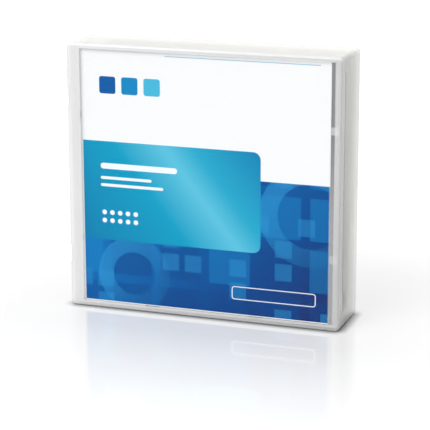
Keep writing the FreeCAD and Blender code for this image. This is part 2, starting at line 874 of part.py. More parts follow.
def before(x):
    # Everything to the left of x, which the lip and its rebate leave out.
    return block(left_x - 1, x, front_y - 1, back_y + 1, -1, case_height + 1)


def hinge_stations():
    return [hinge_notch_from_end, case_height - hinge_notch_from_end]


def hinge_bar(radius, z0, z1):
    return disc(radius, z0, z1, hinge_x, split_y)


def tray_ribs():
    inner_back = back_y - case_wall
    low = case_wall
    high = case_height - case_wall
    ribs = []
    for side in (-1, 1):
        x = reel_x + side * seat_rib_offset
        half = seat_rib_thickness / 2
        ribs.append(block(x - half, x + half, split_y + case_edge_radius, inner_back, low,
                          low + seat_rib_height))
        x = reel_x + side * back_rail_offset
        half = back_rail_width / 2
        ribs.append(block(x - half, x + half, cart_bottom_y, inner_back, low, high))
    stop_x = cart_front_x - stop_wall_gap
    ribs.append(block(stop_x - stop_wall_thickness, stop_x, inner_back - stop_wall_height, inner_back,
                      stop_wall_end_margin, case_height - stop_wall_end_margin))
    y = back_y - side_rib_from_back
    ribs.append(block(cart_rear_x + side_rib_gap, right_x - case_wall, y - side_rib_thickness, y,
                      side_rib_end_margin, case_height - side_rib_end_margin))
    return ribs


def nail_groove():
    # A shallow slot behind the lid's edge on the right side. It has a round upper end and
    # runs down into the thumb scoop.
    half = nail_groove_width / 2
    high = case_height - nail_groove_end_margin - half
    x = right_x - nail_groove_depth
    bar = block(x, right_x + 1, split_y, split_y + nail_groove_width, thumb_scoop_from_bottom, high)
    end = Part.makeCylinder(half, nail_groove_depth + 1, Vector(x, split_y + half, high), Vector(1, 0, 0))
    return bar.fuse(end)


def thumb_scoop():
    # The bowl behind the lid's edge, low on the right side, where a thumb lifts the lid.
    ball = (thumb_scoop_radius ** 2 + thumb_scoop_depth ** 2) / (2 * thumb_scoop_depth)
    bowl = Part.makeSphere(ball, Vector(right_x - thumb_scoop_depth + ball, split_y, thumb_scoop_from_bottom))
    reach = thumb_scoop_radius + 1
    return bowl.common(block(right_x - 1, right_x + 1, split_y, split_y + reach,
                             thumb_scoop_from_bottom - reach, thumb_scoop_from_bottom + reach))


def make_case_tray():
    body = case_block(back_y, split_y, 0, case_corner_radius, True)
    body = body.cut(case_block(back_y, split_y, case_wall, case_corner_radius - case_wall, False))
    adds = [lip_band(lip_height, case_wall - lip_thickness).cut(before(hinge_x + lip_start))]
    adds += tray_ribs()
    body = joined([body] + adds)
    half = hinge_notch_length / 2
    for z in hinge_stations():
        for z0 in (z - half - hinge_ear_length, z + half):
            body = body.cut(hinge_bar(hinge_barrel_radius + hinge_end_gap, z0 - hinge_end_gap,
                                      z0 + hinge_ear_length + hinge_end_gap))
        knuckle = hinge_bar(hinge_barrel_radius, z - half + hinge_end_gap, z + half - hinge_end_gap)
        body = body.fuse(knuckle)
        body = body.cut(hinge_bar(hinge_peg_radius + fit_gap, z - half - 1, z + half + 1))
    return body.cut([nail_groove(), thumb_scoop()])


def card_tabs():
    # Small tabs behind the edges of the printed card, and ledges below it.
    tabs = []
    tab_back = card_back_y + card_tab_thickness
    for z in (card_tab_from_bottom, case_height - card_tab_from_top):
        low = z - card_tab_height / 2
        high = z + card_tab_height / 2
        tabs.append(block(card_right - card_tab_grip, right_x - case_wall, card_back_y, tab_back, low, high))
        foot = card_left - slide_gap
        tabs.append(block(foot - card_tab_foot, foot, panel_inner_y, tab_back, low, high))
        tabs.append(block(foot, card_left + card_tab_grip, card_back_y, tab_back, low, high))
    for x in (card_left + card_ledge_from_edge, card_right - card_ledge_from_edge):
        half = card_ledge_length / 2
        tabs.append(block(x - half, x + half, panel_inner_y, card_back_y + card_ledge_thickness / 2,
                          case_wall, card_bottom))
    return tabs


def make_case_lid():
    body = case_block(front_y, split_y, 0, case_corner_radius, True)
    body = body.cut(case_block(front_y, split_y, case_wall, case_corner_radius - case_wall, False))
    body = joined([body] + card_tabs())
    rebate = lip_band(lip_height + fit_gap, case_wall - lip_thickness - fit_gap)
    rebate = rebate.cut(before(hinge_x + lip_start - turn_gap))
    body = body.cut(rebate)
    half = hinge_notch_length / 2
    reach = hinge_barrel_radius + hinge_end_gap
    for z in hinge_stations():
        for z0 in (z - half - hinge_ear_length, z + half):
            body = body.fuse(hinge_bar(hinge_barrel_radius, z0, z0 + hinge_ear_length))
        body = body.cut(block(left_x - 1, left_x + hinge_notch_in_panel, front_y - 1, panel_inner_y,
                              z - half, z + half))
        body = body.cut(block(left_x - 1, hinge_x + reach, panel_inner_y, split_y + reach, z - half, z + half))
        body = body.fuse(hinge_bar(hinge_peg_radius, z - half, z - half + hinge_peg_length))
        body = body.fuse(hinge_bar(hinge_peg_radius, z + half - hinge_peg_length, z + half))
    return body


def make_insert_card():
    return block(card_left, card_right, panel_inner_y, card_back_y, card_bottom, card_top)


cartridge_pieces = {
    "cartridge_bottom_shell": make_bottom_shell,
    "cartridge_top_shell": make_top_shell,
    "shell_screws": make_screws,
    "reel_hub": make_reel_hub,
    "upper_flange": make_upper_flange,
    "tape_pack": make_tape_pack,
    "clutch_plate": make_clutch_plate,
    "release_pad": make_release_pad,
    "brake_button": make_brake_button,
    "brake_spring": make_brake_spring,
    "leader_pin": make_leader_pin,
    "tape_clip": make_tape_clip,
    "tape_lead": make_tape_lead,
    "pin_spring": make_pin_spring,
    "slide_door": make_slide_door,
    "door_spring": make_door_spring,
    "write_protect_tab": make_write_protect_tab,
    "memory_chip": make_memory_chip,
}
case_pieces = {
    "case_tray": make_case_tray,
    "case_lid": make_case_lid,
    "insert_card": make_insert_card,
}

os.makedirs("parts", exist_ok=True)
for name, make in cartridge_pieces.items():
    in_case(make()).exportStep("parts/" + name + ".step")
for name, make in case_pieces.items():
    make().exportStep("parts/" + name + ".step")
print("case", round(case_width, 3), round(case_depth, 3), round(case_height, 3))
print("cartridge", round(cart_width, 3), round(cart_depth, 3), round(cart_height, 3))
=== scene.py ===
import bpy
import bmesh
import math
from mathutils import Matrix, Vector


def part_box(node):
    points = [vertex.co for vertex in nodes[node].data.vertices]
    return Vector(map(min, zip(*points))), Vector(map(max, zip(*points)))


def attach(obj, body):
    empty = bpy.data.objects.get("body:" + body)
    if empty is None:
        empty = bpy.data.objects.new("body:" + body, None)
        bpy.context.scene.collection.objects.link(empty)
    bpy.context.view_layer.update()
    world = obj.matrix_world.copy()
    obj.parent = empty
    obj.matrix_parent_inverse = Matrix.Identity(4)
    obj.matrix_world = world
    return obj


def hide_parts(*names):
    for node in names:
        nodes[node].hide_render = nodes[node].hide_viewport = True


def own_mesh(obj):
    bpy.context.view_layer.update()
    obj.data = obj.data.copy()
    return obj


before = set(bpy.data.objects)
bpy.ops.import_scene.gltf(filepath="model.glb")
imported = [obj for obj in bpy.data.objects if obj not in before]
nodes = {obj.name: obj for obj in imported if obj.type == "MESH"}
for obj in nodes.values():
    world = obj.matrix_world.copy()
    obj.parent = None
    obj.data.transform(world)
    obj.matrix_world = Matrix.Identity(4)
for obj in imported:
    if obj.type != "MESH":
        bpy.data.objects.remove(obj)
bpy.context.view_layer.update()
mm = 0.001
print("frame loaded,", len(nodes), "nodes")


def newObject(name, data):
    item = bpy.data.objects.new(name, data)
    bpy.context.scene.collection.objects.link(item)
    return item


# the camera, at the photograph's angle
cameraSet = {
    "lens": 150.36,  # mm, as the sensor
    "sensor": 36,
    "azimuth": 19.45,  # degrees, as the next two
    "elevation": 14.73,
    "roll": -0.135,
    "distance": 713 * mm,
    "target": (5.79 * mm, -13.25 * mm, 43.38 * mm),
    "clip": (0.05, 60),
}


def makeCamera():
    turn = math.radians(cameraSet["azimuth"])
    rise = math.radians(cameraSet["elevation"])
    roll = math.radians(cameraSet["roll"])
    level = math.cos(rise)
    back = Vector((math.sin(turn) * level, -math.cos(turn) * level, math.sin(rise)))
    right = Vector((math.cos(turn), math.sin(turn), 0))
    up = back.cross(right)
    across = right * math.cos(roll) + up * math.sin(roll)
    upright = up * math.cos(roll) - right * math.sin(roll)
    data = bpy.data.cameras.new("photoCamera")
    data.lens = cameraSet["lens"]
    data.sensor_width = cameraSet["sensor"]
    data.clip_start, data.clip_end = cameraSet["clip"]
    camera = newObject("photoCamera", data)
    place = Vector(cameraSet["target"]) + back * cameraSet["distance"]
    camera.matrix_world = Matrix((
        (across.x, upright.x, back.x, place.x),
        (across.y, upright.y, back.y, place.y),
        (across.z, upright.z, back.z, place.z),
        (0, 0, 0, 1),
    ))
    bpy.context.scene.camera = camera
    print("camera placed")


def linear(hexColour):
    parts = []
    for shift in (16, 8, 0):
        value = ((hexColour >> shift) & 255) / 255
        parts.append(value / 12.92 if value <= 0.04045 else ((value + 0.055) / 1.055) ** 2.4)
    return (*parts, 1.0)


def feed(tree, node, inputs):
    # each input gets a plain value, or a link from a socket or from a node's first output
    for key, value in inputs.items():
        if isinstance(value, bpy.types.Node):
            value = value.outputs[0]
        if isinstance(value, bpy.types.NodeSocket):
            tree.links.new(value, node.inputs[key])
        else:
            node.inputs[key].default_value = value


def addNode(tree, kind, inputs=(), **settings):
    # a shader node goes by its short name, and its inputs by their names or in their order,
    # which in Map Range is the value, the range it comes from and the range it goes to
    node = tree.nodes.new(kind if "Node" in kind else "ShaderNode" + kind)
    for key, value in settings.items():
        setattr(node, key, value)
    feed(tree, node, inputs if isinstance(inputs, dict) else dict(enumerate(inputs)))
    return node


def newMaterial(name):
    # a Principled material, with the object coordinates that its patterns read
    material = bpy.data.materials.new(name)
    material.use_nodes = True
    tree = material.node_tree
    shader = tree.nodes["Principled BSDF"]
    place = addNode(tree, "TexCoord").outputs["Object"]
    return material, tree, shader, place


def shifted(tree, share, start, end):
    # goes from start to end while the share goes from 0 to 1
    change = addNode(tree, "Math", (end, start), operation="SUBTRACT")
    return addNode(tree, "Math", (share, change, start), operation="MULTIPLY_ADD")


def finishSurface(tree, shader, tintBy, tints, grain, rough, relief=None):
    # a tint between two, and a roughness and a relief that follow the grain
    ends = {0: tintBy, 6: linear(tints[0]), 7: linear(tints[1])}
    tint = addNode(tree, "Mix", ends, data_type="RGBA").outputs[2]
    feed(tree, shader, {"Base Color": tint,
                        "Roughness": addNode(tree, "MapRange", (grain, 0.0, 1.0, *rough))})
    if relief:
        addRelief(tree, shader, grain, relief)


def addRelief(tree, shader, height, relief):
    strength, depth = relief
    bump = addNode(tree, "Bump", {"Height": height, "Strength": strength, "Distance": depth})
    feed(tree, shader, {"Normal": bump})


# the printed card, with its print in mm to the right of its left edge and below its top edge
card = {
    "left": -51.6 * mm,
    "right": 52.7 * mm,
    "bottom": 2.4 * mm,
    "top": 107.3 * mm,
    "front": -12.03 * mm,
    "back": -11.8 * mm,
    "corner": 0.8 * mm,
    "cornerSteps": 4,
    "paper": (0xF7F8F9, 0xE2E4E6),
    "paperFibre": 0.05,  # how far the fibres turn the paper to its greyer tint
    "board": (0xF0F0EE, 0xE0E0DC),
    "fibreGrain": 0.4 * mm,
    "satin": (0.32, 0.48),
    "specular": 0.05,
    "relief": (0.08, 0.02 * mm),
    "edge": 0.06,  # softness of a printed edge
    "bare": (0.55, 0.35),  # unprinted board along the left and the lower edge
    "bleed": 5.0,
    "fieldTop": 49.0,
    "fieldCorner": 0.2,
    "blues": ((0.0, 0x0E7CC2), (0.4, 0x0363AC), (0.72, 0x04468C), (1.0, 0x1C2C66)),
    "blueLean": (0.62, 0.38),  # how much of the deepening runs to the right and downwards
    "patchPitch": 21.0,
    "patchShare": 0.82,
    "patchEdge": 0.004,
    "patchSplit": 0.55,  # tones above it are light patches, and the others dark ones
    "darkPatch": (0x06458A, 0.35, 0.85),  # ink, and how strongly it lies on by the tone
    "lightPatch": (0x1084C6, 0.0, 0.55),
    "smallPitch": 9.5,
    "smallShare": 0.74,
    "smallRare": 0.72,  # only tones above it are printed
    "smallPatch": (0x2A93D0, 0.4),
    "rings": ((96.0, 62.0, 13.0, 20.5), (22.0, 92.0, 9.0, 15.5)),  # centre, inner and outer radius
    "ringInk": 0x2C97D2,
    "ringFade": (0.5, 0.12),
    "panel": (-6.0, 76.0, 37.5, 78.5, 3.2),  # left, right, top, bottom and corner radius
    "teals": ((0.0, 0x077FB0), (0.42, 0x089FC6), (0.62, 0x5EC4DF), (0.74, 0x27A9CC),
              (1.0, 0x0884B6)),
    "tealLean": (0.7, 0.3),
    "bars": ((8.0, 41.0, 46.5, 48.9, 1.2), (8.0, 30.0, 52.0, 53.2, 0.6),
             (8.0, 35.0, 55.0, 56.2, 0.6)),
    "dots": (9.4, 67.0, 3.4, 5, 2, 1.0),  # first centre, pitch, columns, rows and radius
    "white": 0xF4F9FB,
    "hairline": (36.0, 100.0, 1.5, 1.85, 0.1),
    "hairlineInk": 0x9CCBE2,
    "frame": (64.0, 99.0, 93.0, 98.5, 1.2),
    "frameLine": 0.35,
    "frameInk": 0xF2F6FA,
    "chips": ((8.0, 15.0, 0x0C5CA6), (17.5, 24.5, 0x1389C4), (27.0, 34.0, 0x49B9DC)),
    "chipRows": (11.0, 18.0, 1.0),  # top, bottom and corner radius
}


def roundedBox(tree, sheet, box):
    # 1 in a box with round corners, and 0 around it
    x0, x1, z0, z1, radius = box
    reach = []
    for value, low, high in zip(sheet, (x0, z0), (x1, z1)):
        off = addNode(tree, "Math", (value, (low + high) / 2), operation="SUBTRACT")
        away = addNode(tree, "Math", (off,), operation="ABSOLUTE")
        past = addNode(tree, "Math", (away, (high - low) / 2 - radius), operation="SUBTRACT")
        reach.append(addNode(tree, "Math", (past, 0.0), operation="MAXIMUM"))
    both = addNode(tree, "CombineXYZ", reach)
    length = addNode(tree, "VectorMath", (both,), operation="LENGTH").outputs["Value"]
    outside = addNode(tree, "Math", (length, radius), operation="SUBTRACT")
    return addNode(tree, "MapRange", (outside, -card["edge"], card["edge"], 1.0, 0.0))


def ringBand(tree, sheet, ring):
    # a see-through round band, strong at the upper left and faded towards the lower right
    middleX, middleZ, inner, outer = ring
    edge = card["edge"]
    x = addNode(tree, "Math", (sheet[0], middleX), operation="SUBTRACT")
    z = addNode(tree, "Math", (sheet[1], middleZ), operation="SUBTRACT")
    square = addNode(tree, "Math", (z, z), operation="MULTIPLY")
    square = addNode(tree, "Math", (x, x, square), operation="MULTIPLY_ADD")
    reach = addNode(tree, "Math", (square,), operation="SQRT")
    past = addNode(tree, "MapRange", (reach, inner - edge, inner + edge, 0.0, 1.0))
    short = addNode(tree, "MapRange", (reach, outer - edge, outer + edge, 1.0, 0.0))
    band = addNode(tree, "Math", (past, short), operation="MULTIPLY")
    lean = addNode(tree, "Math", (x, z), operation="ADD")
    fade = addNode(tree, "MapRange", (lean, -outer, outer, *card["ringFade"]))
    return addNode(tree, "Math", (band, fade), operation="MULTIPLY")


def patchLayer(tree, sheet, pitch, share):
    # squares on a grid, each with a tone of its own
    place = addNode(tree, "CombineXYZ", sheet)
    cells = addNode(tree, "TexVoronoi", {"Vector": place, "Scale": 1 / pitch, "Randomness": 0.0},
                    voronoi_dimensions="2D", distance="CHEBYCHEV")
    tone = addNode(tree, "SeparateColor", (cells.outputs["Color"],))
    low, high = share / 2 - card["patchEdge"], share / 2 + card["patchEdge"]
    inside = addNode(tree, "MapRange", (cells.outputs["Distance"], low, high, 1.0, 0.0))
    return tone, inside


def inkOver(tree, mask, under, ink):
    # lays an ink, a colour or a finished layer, over what is printed already
    over = linear(ink) if isinstance(ink, int) else ink
    return addNode(tree, "Mix", {0: mask, 6: under, 7: over}, data_type="RGBA").outputs[2]


def inkRamp(tree, along, stops):
    node = addNode(tree, "ValToRGB", (along,))
    elements = node.color_ramp.elements
    while len(elements) < len(stops):
        elements.new(0.5)
    for element, (place, ink) in zip(elements, stops):
        element.position = place
        element.color = linear(ink)
    return node.outputs["Color"]


def blueField(tree, sheet, width, height):
    # a blue that deepens towards the lower right, with patches and rings in it
    across, down = sheet
    leanX, leanZ = card["blueLean"]
    rise = addNode(tree, "Math", (down, card["fieldTop"]), operation="SUBTRACT")
    sunk = addNode(tree, "Math", (rise, leanZ / (height - card["fieldTop"])), operation="MULTIPLY")
    slope = addNode(tree, "Math", (across, leanX / width, sunk), operation="MULTIPLY_ADD")
    blue = inkRamp(tree, slope, card["blues"])
    tone, inside = patchLayer(tree, sheet, card["patchPitch"], card["patchShare"])
    inked = []
    for ink, least, most in (card["darkPatch"], card["lightPatch"]):
        strength = addNode(tree, "MapRange", (tone, 0.0, 1.0, least, most))
        inked.append(inkOver(tree, strength, blue, ink))
    isLight = addNode(tree, "Math", (tone, card["patchSplit"]), operation="GREATER_THAN")
    field = inkOver(tree, inside, blue, inkOver(tree, isLight, *inked))
    tone, inside = patchLayer(tree, sheet, card["smallPitch"], card["smallShare"])
    isPrinted = addNode(tree, "Math", (tone, card["smallRare"]), operation="GREATER_THAN")
    few = addNode(tree, "Math", (inside, isPrinted), operation="MULTIPLY")
    ink, strength = card["smallPatch"]
    few = addNode(tree, "Math", (few, strength), operation="MULTIPLY")
    field = inkOver(tree, few, field, ink)
    for ring in card["rings"]:
        field = inkOver(tree, ringBand(tree, sheet, ring), field, card["ringInk"])
    return field


def tealPanel(tree, sheet):
    # a teal with a soft light streak across it
    across, down = sheet
    _, right, top, bottom, _ = card["panel"]
    leanX, leanZ = card["tealLean"]
    over = addNode(tree, "Math", (across, leanX / right), operation="MULTIPLY")
    above = addNode(tree, "Math", (bottom, down), operation="SUBTRACT")
    above = addNode(tree, "Math", (above, leanZ / (bottom - top)), operation="MULTIPLY")
    return inkRamp(tree, addNode(tree, "Math", (over, above), operation="ADD"), card["teals"])


def smallPrint():
    # every small box with its ink, in the order they are printed
    boxes = [(box, card["white"]) for box in card["bars"]]
    x, z, pitch, columns, rows, radius = card["dots"]
    for i in range(columns * rows):
        middle, level = x + i % columns * pitch, z + i // columns * pitch
        dot = (middle - radius, middle + radius, level - radius, level + radius, radius)
        boxes.append((dot, card["white"]))
    return boxes + [(card["hairline"], card["hairlineInk"])]


def printedCard():
    # coated board, offset printed: sharp flat inks under a thin satin varnish
    material, tree, shader, place = newMaterial("coatedBoardPrint")
    x, y, z = addNode(tree, "SeparateXYZ", (place,)).outputs
    sheet = (addNode(tree, "Math", (x, 1 / mm, -card["left"] / mm), operation="MULTIPLY_ADD"),
             addNode(tree, "Math", (z, -1 / mm, card["top"] / mm), operation="MULTIPLY_ADD"))
    width = (card["right"] - card["left"]) / mm
    height = (card["top"] - card["bottom"]) / mm
    fibre = addNode(tree, "TexNoise", {"Vector": place, "Scale": 1 / card["fibreGrain"],
                                       "Detail": 3.0})
    greyer = addNode(tree, "MapRange", (fibre, 0.0, 1.0, 0.0, card["paperFibre"]))
    paper = inkOver(tree, greyer, linear(card["paper"][0]), card["paper"][1])

    bareLeft, bareLow = card["bare"]
    field = (bareLeft, width + card["bleed"], card["fieldTop"], height - bareLow,
             card["fieldCorner"])
    colour = inkOver(tree, roundedBox(tree, sheet, field), paper,
                     blueField(tree, sheet, width, height))
    low, high = bareLeft - card["edge"], bareLeft + card["edge"]
    margin = addNode(tree, "MapRange", (sheet[0], low, high, 0.0, 1.0))
    panel = addNode(tree, "Math", (roundedBox(tree, sheet, card["panel"]), margin),
                    operation="MULTIPLY")
    colour = inkOver(tree, panel, colour, tealPanel(tree, sheet))
    for box, ink in smallPrint():
        colour = inkOver(tree, roundedBox(tree, sheet, box), colour, ink)

    # a thin white frame, and three colour chips
    x0, x1, z0, z1, radius = card["frame"]
    line = card["frameLine"]
    outer = roundedBox(tree, sheet, card["frame"])
    inner = roundedBox(tree, sheet, (x0 + line, x1 - line, z0 + line, z1 - line, radius - line))
    rim = addNode(tree, "Math", (outer, inner), operation="SUBTRACT")
    colour = inkOver(tree, rim, colour, card["frameInk"])
    for left, right, ink in card["chips"]:
        chipBox = roundedBox(tree, sheet, (left, right, *card["chipRows"]))
        colour = inkOver(tree, chipBox, colour, ink)

    # only the front is printed, and the back is bare board
    middle = (card["front"] + card["back"]) / 2
    printed = addNode(tree, "Math", (y, middle), operation="LESS_THAN")
    board = inkOver(tree, fibre, linear(card["board"][0]), card["board"][1])
    feed(tree, shader, {
        "Base Color": inkOver(tree, printed, board, colour),
        "Roughness": addNode(tree, "MapRange", (fibre, 0.0, 1.0, *card["satin"])),
        "Specular IOR Level": card["specular"],
    })
    addRelief(tree, shader, fibre, card["relief"])
    return material


def makeCard():
    # the card as its own sheet, a hair thinner than its space, with slightly rounded corners
    mesh = bmesh.new()
    outline = []
    radius, steps = card["corner"], card["cornerSteps"]
    left, right = card["left"] + radius, card["right"] - radius
    bottom, top = card["bottom"] + radius, card["top"] - radius
    corners = ((right, bottom, -90), (right, top, 0), (left, top, 90), (left, bottom, 180))
    for x, z, start in corners:
        for step in range(steps + 1):
            angle = math.radians(start + step * 90 / steps)
            outline.append((x + radius * math.cos(angle), z + radius * math.sin(angle)))
    rings = []
    for y in (card["front"], card["back"]):
        rings.append([mesh.verts.new((x, y, z)) for x, z in outline])
    mesh.faces.new(rings[0])
    mesh.faces.new(list(reversed(rings[1])))
    for i in range(len(outline)):
        j = (i + 1) % len(outline)
        mesh.faces.new((rings[0][i], rings[1][i], rings[1][j], rings[0][j]))
    bmesh.ops.recalc_face_normals(mesh, faces=mesh.faces)
    data = bpy.data.meshes.new("printed_card")
    mesh.to_mesh(data)
    mesh.free()
    piece = newObject("printed_card", data)
    data.materials.append(printedCard())
    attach(piece, "lid")
    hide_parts("insert_card")
    print("card printed")


# the clear case; haze is the share of light that one milky surface sends back
case = {
    "trayTints": (0xF4F3F0, 0xE8E6E1),
    "lidTints": (0xF3F3F3, 0xE6E6E8),
    "tintByFlow": 0.5,
    "flowPatch": 16 * mm,
    "flowStretch": (1.0, 1.0, 0.35),  # the melt ran upwards, so the marks are longer that way
    "flowRange": (0.3, 0.7),
    "haze": (0.395, 0.485),  # least and most, by the flow marks
    "paintedLightRise": (0.0, 0.07),  # added low down and high up: painted light, the walls lighter towards the top
    "hazeLevels": (20 * mm, 100 * mm),
    "sidePaintedShadeRise": (-0.2, -0.02),  # the same for the two side walls, less haze and least low down: painted shade, darker towards the bottom
    "sideWalls": (50 * mm, 56 * mm),
    "topDrop": -0.12,  # the top wall between them takes off the painted rise there, and a little more, so it is clearer
    "topLevels": (107.0 * mm, 108.5 * mm),
    "panelInside": -11.95 * mm,
    "rimHazeWithPaintedRise": (0.6, 0.76),  # the panel where the walls stand behind it, low down and high up; the rise is painted light, lighter towards the top
    "rimFade": (1.0, 0.7),  # how much of that haze the rim has on the left and on the right
    "rimSides": (-30 * mm, 54 * mm),
    "gapHaze": (0.24, 0.15),  # the polished panel beside the card, low down and high up
    "gapLevels": (45 * mm, 75 * mm),
    "gapWidth": 1.9 * mm,
    "windowHaze": 0.002,  # the polished panel over the card
    "windowEdge": 0.2 * mm,
    "shine": (0.96, 0.003),  # what the clear part sends back at a shallow angle, and straight on
    "shinePower": 5.0,
    "frostGrain": 0.8 * mm,
    "frost": (0.12, 0.26),
    "relief": (0.15, 0.3 * mm),
    "refraction": 1.49,
}


def windowHaze(tree, x, y, z, haze):
    # the panel is polished where the card lies behind it, and in a strip on the card's right
    front = addNode(tree, "Math", (y, case["panelInside"]), operation="LESS_THAN")
    # the rim's haze rises with height: painted light, lighter towards the top
    rim = addNode(tree, "MapRange", (z, *case["hazeLevels"], *case["rimHazeWithPaintedRise"]))
    fade = addNode(tree, "MapRange", (x, *case["rimSides"], *case["rimFade"]))
    rim = addNode(tree, "Math", (rim, fade), operation="MULTIPLY")
    haze = shifted(tree, front, haze, rim)
    gap = addNode(tree, "MapRange", (z, *case["gapLevels"], *case["gapHaze"]))
    for level, right in ((gap, case["gapWidth"]), (case["windowHaze"], 0.0)):
        mask = front
        spans = ((x, card["left"], card["right"] + right), (z, card["bottom"], card["top"]))
        for value, low, high in spans:
            half = (high - low) / 2
            off = addNode(tree, "Math", (value, (low + high) / 2), operation="SUBTRACT")
            away = addNode(tree, "Math", (off,), operation="ABSOLUTE")
            within = addNode(tree, "MapRange", (away, half - case["windowEdge"], half, 1.0, 0.0))
            mask = addNode(tree, "Math", (mask, within), operation="MULTIPLY")
        haze = shifted(tree, mask, haze, level)
    return haze


def clearPolypropylene(name, tints, hasWindow):
    # moulded clear polypropylene: milky in the bulk, glossy skin with faint flow marks
    material, tree, shader, place = newMaterial(name)
    along = addNode(tree, "Mapping", {"Vector": place, "Scale": case["flowStretch"]})
    flow = addNode(tree, "TexNoise", {"Vector": along, "Scale": 1 / case["flowPatch"],
                                      "Detail": 2.0})
    frost = addNode(tree, "TexNoise", {"Vector": place, "Scale": 1 / case["frostGrain"],
                                       "Detail": 2.0})
    x, y, z = addNode(tree, "SeparateXYZ", (place,)).outputs
    sideways = addNode(tree, "Math", (x,), operation="ABSOLUTE")
    side = addNode(tree, "MapRange", (sideways, *case["sideWalls"], 0.0, 1.0))
    # painted light and shade by height: the walls take more haze high up, the side walls less low
    # down, and the top wall has the rise taken back
    rise = addNode(tree, "MapRange", (z, *case["hazeLevels"], *case["paintedLightRise"]))
    drop = addNode(tree, "MapRange", (z, *case["topLevels"], 0.0, case["topDrop"]))
    between = addNode(tree, "Math", (rise, drop), operation="ADD")
    # painted shade on the side walls, darker towards the bottom
    sidePaintedShadeByHeight = addNode(tree, "MapRange", (z, *case["hazeLevels"], *case["sidePaintedShadeRise"]))
    paintedLightAndShadeByHeight = shifted(tree, side, between, sidePaintedShadeByHeight)
    milky = addNode(tree, "MapRange", (flow, *case["flowRange"], *case["haze"]))
    haze = addNode(tree, "Math", (milky, paintedLightAndShadeByHeight), operation="ADD")
    if hasWindow:
        haze = windowHaze(tree, x, y, z, haze)
    # more of the light is sent back at a shallow angle
    facing = addNode(tree, "LayerWeight", {"Blend": 0.5}).outputs["Facing"]
    steep = addNode(tree, "Math", (facing, case["shinePower"]), operation="POWER")
    shine = addNode(tree, "Math", (steep, *case["shine"]), operation="MULTIPLY_ADD")
    rest = addNode(tree, "Math", (1.0, haze), operation="SUBTRACT")
    tintBy = addNode(tree, "MapRange", (flow, 0.0, 1.0, 0.0, case["tintByFlow"]))
    finishSurface(tree, shader, tintBy, tints, frost, case["frost"])
    feed(tree, shader, {
        "Alpha": addNode(tree, "Math", (rest, shine, haze), operation="MULTIPLY_ADD"),
        "IOR": case["refraction"],
    })
    finer = case["frostGrain"] / case["flowPatch"]
    height = addNode(tree, "Math", (frost, finer, flow), operation="MULTIPLY_ADD")
    addRelief(tree, shader, height, case["relief"])
    return material


# the dark mouldings: colour, paler colour and grain
darkPlastics = {
    "charcoalPolycarbonate": (0x3A3D42, 0x4A4E54, 0.35 * mm),
    "panelledPolycarbonate": (0x3A3D42, 0x4A4E54, 0.35 * mm),
    "darkGreyPolycarbonate": (0x34373B, 0x45494E, 0.3 * mm),
    "slateAcetal": (0x2E3135, 0x3C4045, 0.3 * mm),
    "blackClipPolyester": (0x1C1D1F, 0x2A2C2E, 0.3 * mm),
}
sparked = {
    "panelFloor": (-10.55 * mm, -10.35 * mm),  # the sunk panel's floor lies between these depths
    "panelCoarser": 1.8,
    "broadPatch": 22 * mm,
    "tintBySpeck": 0.35,
    "tintByPatch": 0.4,
    "rough": (0.42, 0.62),
    "relief": (0.35, 0.05 * mm),
    "refraction": 1.58,
}


def sparkedPlastic(name, hasPanel=False):
    # injection moulded in a spark-eroded mould: fine even grain, dull sheen
    material, tree, shader, place = newMaterial(name)
    colour, paler, grain = darkPlastics[name]
    if hasPanel:
        # the sunk panel on top has a coarser grain
        depth = addNode(tree, "SeparateXYZ", (place,)).outputs["Y"]
        low, high = sparked["panelFloor"]
        above = addNode(tree, "Math", (depth, low), operation="GREATER_THAN")
        below = addNode(tree, "Math", (depth, high), operation="LESS_THAN")
        floor = addNode(tree, "Math", (above, below), operation="MULTIPLY")
        coarser = addNode(tree, "MapRange", (floor, 0.0, 1.0, 1.0, 1 / sparked["panelCoarser"]))
        place = addNode(tree, "VectorMath", {0: place, "Scale": coarser}, operation="SCALE")
    speck = addNode(tree, "TexNoise", {"Vector": place, "Scale": 1 / grain, "Detail": 3.0})
    patch = addNode(tree, "TexNoise", {"Vector": place, "Scale": 1 / sparked["broadPatch"],
                                       "Detail": 2.0})
    patch = addNode(tree, "Math", (patch, sparked["tintByPatch"]), operation="MULTIPLY")
    tintBy = addNode(tree, "Math", (speck, sparked["tintBySpeck"], patch),
                     operation="MULTIPLY_ADD")
    finishSurface(tree, shader, tintBy, (colour, paler), speck, sparked["rough"],
                  sparked["relief"])
    feed(tree, shader, {"IOR": sparked["refraction"]})
    return material


# the white and grey mouldings of the reel and its lock: colour and paler colour
paleTints = {
    "greyReelPolycarbonate": (0xC3C6CA, 0xD2D5D8),
    "whiteAcetal": (0xE4E4DF, 0xEFEFEA),
    "ivoryAcetal": (0xDAD9CF, 0xE6E5DC),
}
waxy = {
    "flowPatch": 5 * mm,
    "fineGrain": 0.3 * mm,
    "rough": (0.28, 0.44),
    "relief": (0.12, 0.03 * mm),
    "softness": 0.08,  # the light that goes in and comes out beside, up to the depth
    "depth": (1 * mm, 1 * mm, 1 * mm),
}


def waxyPlastic(name):
    # smooth-moulded acetal or polycarbonate: waxy, slightly translucent, faint flow marks
    material, tree, shader, place = newMaterial(name)
    flow, fine = [addNode(tree, "TexNoise", {"Vector": place, "Scale": 1 / size, "Detail": detail})
                  for size, detail in ((waxy["flowPatch"], 3.0), (waxy["fineGrain"], 2.0))]
    finishSurface(tree, shader, flow, paleTints[name], fine, waxy["rough"], waxy["relief"])
    feed(tree, shader, {"Subsurface Weight": waxy["softness"],
                        "Subsurface Radius": waxy["depth"]})
    return material


